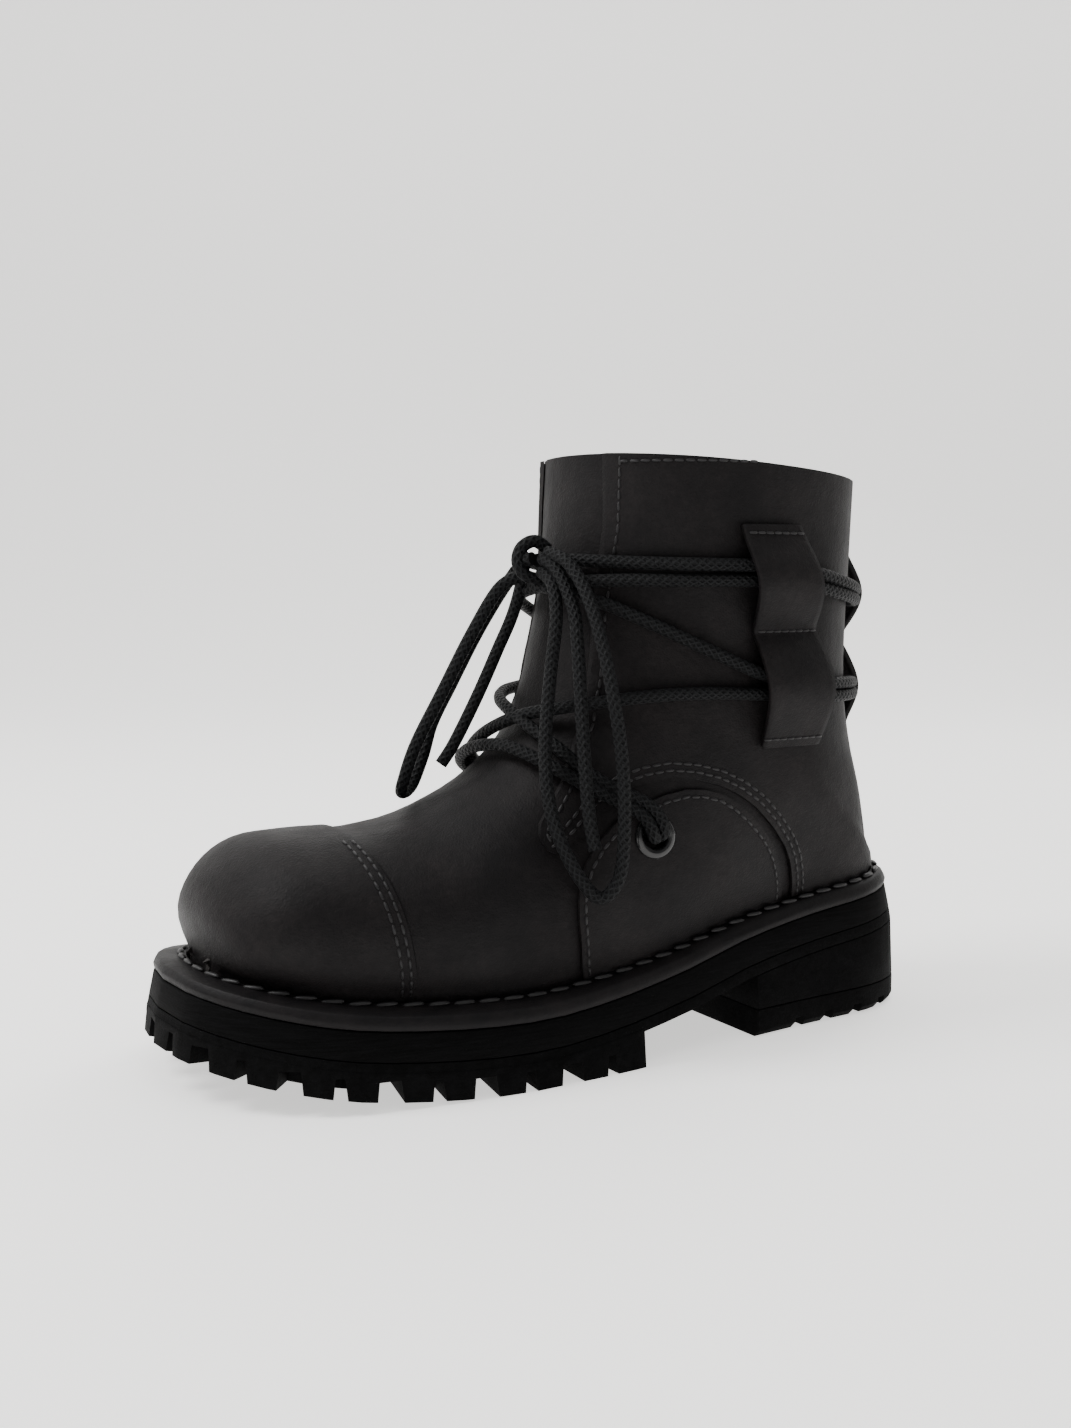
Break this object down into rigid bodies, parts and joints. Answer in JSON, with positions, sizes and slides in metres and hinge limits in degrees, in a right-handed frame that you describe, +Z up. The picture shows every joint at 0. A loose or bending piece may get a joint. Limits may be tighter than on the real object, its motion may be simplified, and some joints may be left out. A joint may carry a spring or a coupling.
{
  "type": "utility ankle boot",
  "caption": "Left charcoal nubuck ankle boot with a toe cap, lugged rubber sole, stitched welt, loops and a long wrapped braided lace tied in a bow.",
  "frame": {"origin": "middle of the box of the boot, on the floor", "axes": "+X to the toe, +Y to the outer (lateral) side, +Z up"},
  "size_m": [0.2999, 0.139, 0.217],
  "materials": {
    "black_rubber": "matte",
    "welt_leather": "satin",
    "leather_lining": "matte",
    "oiled_nubuck": "matte",
    "painted_eyelet": "gloss",
    "braided_lace": "matte"
  },
  "bodies": {
    "root": {"outsole": "black_rubber", "heel_block": "black_rubber", "top_lift": "black_rubber", "midsole": "black_rubber", "welt": "welt_leather", "insole": "leather_lining", "upper": "oiled_nubuck", "back_loop": "oiled_nubuck", "eyelet_inner": "painted_eyelet", "eyelet_outer": "painted_eyelet", "lace_crossings": "braided_lace", "lace_end_inner": "braided_lace", "lace_end_outer": "braided_lace", "lace_knot": "braided_lace", "lace_loop_inner": "braided_lace", "lace_loop_outer": "braided_lace", "quarter_inner": "oiled_nubuck", "quarter_outer": "oiled_nubuck", "side_loop_inner": "oiled_nubuck", "side_loop_outer": "oiled_nubuck", "wing_inner": "oiled_nubuck", "wing_outer": "oiled_nubuck"}
  },
  "joints": []
}
